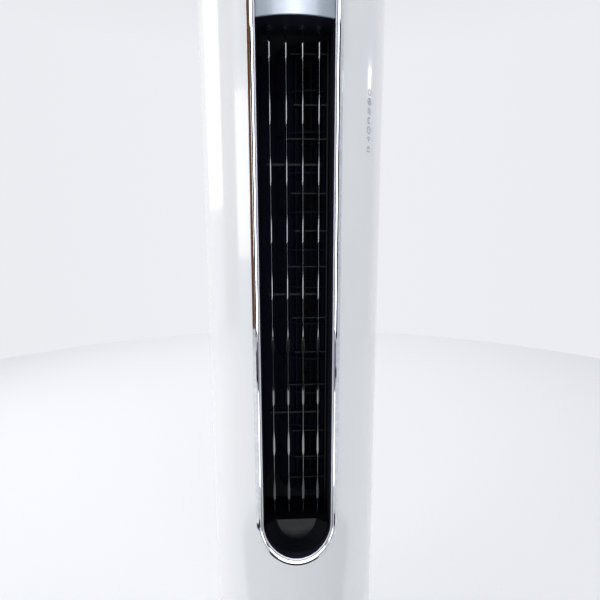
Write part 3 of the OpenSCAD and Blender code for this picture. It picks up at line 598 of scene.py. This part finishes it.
# %% Marks on the shell and on the keys
MARK_TURN = math.radians(47.6)
MARK_PITCH = 10.6 * MM
MARK_TOP = 876 * MM
STROKE_WIDTH = 0.9
INK_RISE = 0.05 * MM
column = bmesh.new()
for place_in_column, strokes in enumerate(PICTOGRAMS.values()):
    mark = bmesh.new()
    ribbons(mark, strokes, STROKE_WIDTH)
    # A small round lamp stands to the right of each mark.
    bmesh.ops.create_circle(mark, cap_ends=True, segments=16, radius=0.55,
                            matrix=Matrix.Translation((8.5, 0, 0)))
    for point in mark.verts:
        turn = MARK_TURN + point.co.x * MM / BODY_R
        height = MARK_TOP - place_in_column * MARK_PITCH + point.co.y * MM
        ink_r = BODY_R + INK_RISE
        point.co = Vector((ink_r * math.sin(turn), -ink_r * math.cos(turn), height))
    sheet = bpy.data.meshes.new("sheet")
    mark.to_mesh(sheet)
    mark.free()
    column.from_mesh(sheet)
    bpy.data.meshes.remove(sheet)
piece_of(column, "printed_marks", grey_ink, "housing")
for key, picture in (("power", "power"), ("speed", "fan"), ("mode", "night"), ("timer", "timer"),
                     ("swing", "swing")):
    low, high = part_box(f"button_{key}")
    mark = bmesh.new()
    ribbons(mark, PICTOGRAMS[picture], STROKE_WIDTH)
    for point in mark.verts:
        point.co = Vector(((low.x + high.x) / 2 + point.co.x * MM, (low.y + high.y) / 2 + point.co.y * MM,
                           high.z + INK_RISE))
    piece_of(mark, f"mark_{key}", grey_ink, f"key_{key}")
print("marks:", len(PICTOGRAMS), "on the shell and 5 on the keys")

# %% [markdown]
# ## Camera, light and floor
#
# The camera stands close in front of the fan, a little left of its middle, at table height, and
# looks slightly down. The floor is a disc of pale matt paper. Tall soft windows to the left leave
# bright upright strips in the gloss, a small lamp on the right leaves one short glint, and wide
# soft lights above fill the rest. Two narrow strips in front show only in reflections.

# %% Camera
camera_data = bpy.data.cameras.new("camera")
camera_data.lens = 25.86
camera_data.sensor_width = 36.0
camera = bpy.data.objects.new("camera", camera_data)
bpy.context.scene.collection.objects.link(camera)
bpy.context.scene.camera = camera
camera.location = (-0.0216, -0.616, 0.7173)
yaw, pitch, roll = (math.radians(a) for a in (-2.94, -9.34, -0.14))
camera.rotation_euler = (Matrix.Rotation(yaw, 3, "Z") @ Matrix.Rotation(math.pi / 2 + pitch, 3, "X")
                         @ Matrix.Rotation(roll, 3, "Z")).to_euler()
print("camera at", tuple(camera.location))

# %% Pale floor
FLOOR_R = 2.4
floor_shape = bmesh.new()
bmesh.ops.create_circle(floor_shape, cap_ends=True, segments=96, radius=FLOOR_R)
floor_mesh = bpy.data.meshes.new("floor")
floor_shape.to_mesh(floor_mesh)
floor_shape.free()
floor = bpy.data.objects.new("floor", floor_mesh)
bpy.context.scene.collection.objects.link(floor)
# Paper scatters all its light, so the floor mirrors nothing.
paper = finish_of("pale_studio_paper", {"Scale": per_mm(3)}, [(0.3, "#F0F1F4"), (0.7, "#F4F5F8")],
                  Roughness=0.9, Specular_IOR_Level=0.0)
floor_mesh.materials.append(paper)
print("floor radius", FLOOR_R, "m")

# %% Windows and fill
def soft_light(name, azimuth, low, high, width, distance, brightness, colour="#FFFFFF"):
    """An upright soft light round the fan, in metres, at an azimuth in degrees from the front to +X."""
    data = bpy.data.lights.new(name, "AREA")
    data.shape = "RECTANGLE"
    data.size, data.size_y = width, high - low
    data.energy = brightness * math.pi * width * (high - low)
    data.color = linear(colour)[:3]
    light = bpy.data.objects.new(name, data)
    bpy.context.scene.collection.objects.link(light)
    turn = math.radians(azimuth)
    away = Vector((math.sin(turn), -math.cos(turn), 0))
    light.visible_camera = False
    light.location = away * distance + Vector((0, 0, (low + high) / 2))
    light.rotation_euler = (-away).to_track_quat("-Z", "Y").to_euler()
    return light


soft_light("window_left", -112, 0.85, 2.6, 1.25, 2.2, 2.1)
soft_light("window_front_left", -63, 0.55, 1.5, 0.72, 2.2, 2.9)
strip = soft_light("strip_front", 2, 0.05, 1.9, 0.42, 2.4, 8.5, "#EEF1FF")
# Low on the fan, upright gloss mirrors the floor in front, so the second strip lies there, facing up.
floor_strip = soft_light("strip_on_floor", 2, -0.35, 0.35, 0.42, 1.07, 2.2)
floor_strip.location.z = 0.006
floor_strip.rotation_euler = (math.pi, 0, 0)
strip.visible_diffuse = floor_strip.visible_diffuse = False
soft_light("fill_front", 2, 2.0, 3.0, 2.6, 2.8, 1.8)
soft_light("lamp_right", 103, 1.45, 1.56, 0.2, 2.0, 10.0)
# The overhead light starts upright too, and is laid flat to face down.
overhead = soft_light("overhead_back", 180, -2.0, 2.0, 4.0, 1.6, 1.5)
overhead.location.z = 3.2
overhead.rotation_euler = (0, 0, 0)
print("lights:", len(bpy.data.lights))

# %% [markdown]
# ## Dark cards
#
# Studios stand dark cards out of sight, so that chrome has something dark to mirror. Without them
# the ring would be mostly white. These cards are seen only in reflections: they cast no shadow
# and block no light. Brown and green ones give the ring its thin coloured lines.

# %% Cards seen only in reflections
def dark_flag(name, corners, colour):
    """A card hidden from the camera, between four corners."""
    card_shape = bmesh.new()
    card_shape.faces.new([card_shape.verts.new(corner) for corner in corners])
    mesh = bpy.data.meshes.new(name)
    card_shape.to_mesh(mesh)
    card_shape.free()
    card = bpy.data.objects.new(name, mesh)
    bpy.context.scene.collection.objects.link(card)
    mesh.materials.append(finish_of(f"{name}_cloth", {"Scale": per_mm(2)}, [(0.3, colour), (0.7, colour)],
                                    Roughness=0.95))
    card.visible_camera = card.visible_shadow = card.visible_diffuse = False


def upright(azimuth_low, azimuth_high, low, high, distance=2.5):
    """The four corners of an upright card between two azimuths."""
    ends = [(distance * math.sin(math.radians(a)), -distance * math.cos(math.radians(a)))
            for a in (azimuth_low, azimuth_high)]
    return [(*ends[0], low), (*ends[1], low), (*ends[1], high), (*ends[0], high)]


def lying(half_width, far, near, z=0.004):
    """The four corners of a card on the floor in front of the fan."""
    return [(-half_width, -far, z), (half_width, -far, z), (half_width, -near, z), (-half_width, -near, z)]


dark_flag("flag_left", upright(-44, -9, 0.02, 1.9), "#222B20")
dark_flag("flag_right", upright(3, 46, 0.02, 1.9), "#141C18")
dark_flag("flag_pier", upright(-97, -73, 0.02, 2.4, 2.6), "#6A4426")
dark_flag("flag_foot", lying(0.5, 0.55, 0.17), "#1B1C20")
dark_flag("flag_floor", lying(0.8, 2.3, 1.45), "#1B1C20")
dark_flag("drape_left", upright(-62, -28, 2.0, 3.4, 3.2), "#2E5530")
dark_flag("drape_right", upright(30, 66, 2.0, 3.4, 3.2), "#2E5530")

# %% [markdown]
# ## The room
#
# The walls are a ramp of pale greys that runs once round the fan: palest behind it, and greyest on
# its left and right. The ceiling is much darker, so glossy surfaces that mirror it darken too.

# %% The room
world = bpy.data.worlds.new("room")
bpy.context.scene.world = world
world.use_nodes = True
tree = world.node_tree
sky = tree.nodes["Background"]
look = add(tree, "SeparateXYZ", {"Vector": add(tree, "TexCoord").outputs["Generated"]})
around = add(tree, "Math", {0: look.outputs["X"], 1: look.outputs["Y"]}, operation="ARCTAN2")
turn = add(tree, "MapRange", {"Value": around.outputs[0], "From Min": -math.pi, "From Max": math.pi})
walls = add(tree, "ValToRGB", {"Fac": turn.outputs["Result"]}, ramp=[
    (0.0, "#E4E6EA"), (0.15, "#D4D7DD"), (0.25, "#CCCFD5"), (0.36, "#F0F1F5"), (0.5, "#F4F5FA"),
    (0.655, "#F0F1F6"), (0.67, "#CED2DB"), (0.85, "#D0D4DC"), (1.0, "#E4E6EA")])
rise = add(tree, "ValToRGB", {"Fac": look.outputs["Z"]}, ramp=[(0.35, "#000000"), (0.5, "#FFFFFF")])
above = add(tree, "ValToRGB", {"Fac": look.outputs["Z"]}, ramp=[(0.6, "#E8EAEE"), (0.8, "#4A4D55")])
room = add(tree, "MixRGB", {"Fac": rise.outputs["Color"], "Color1": walls.outputs["Color"],
                            "Color2": above.outputs["Color"]})
tree.links.new(room.outputs["Color"], sky.inputs["Color"])
sky.inputs["Strength"].default_value = 0.95
bpy.context.scene.view_settings.view_transform = "Standard"
print("room strength", sky.inputs["Strength"].default_value)
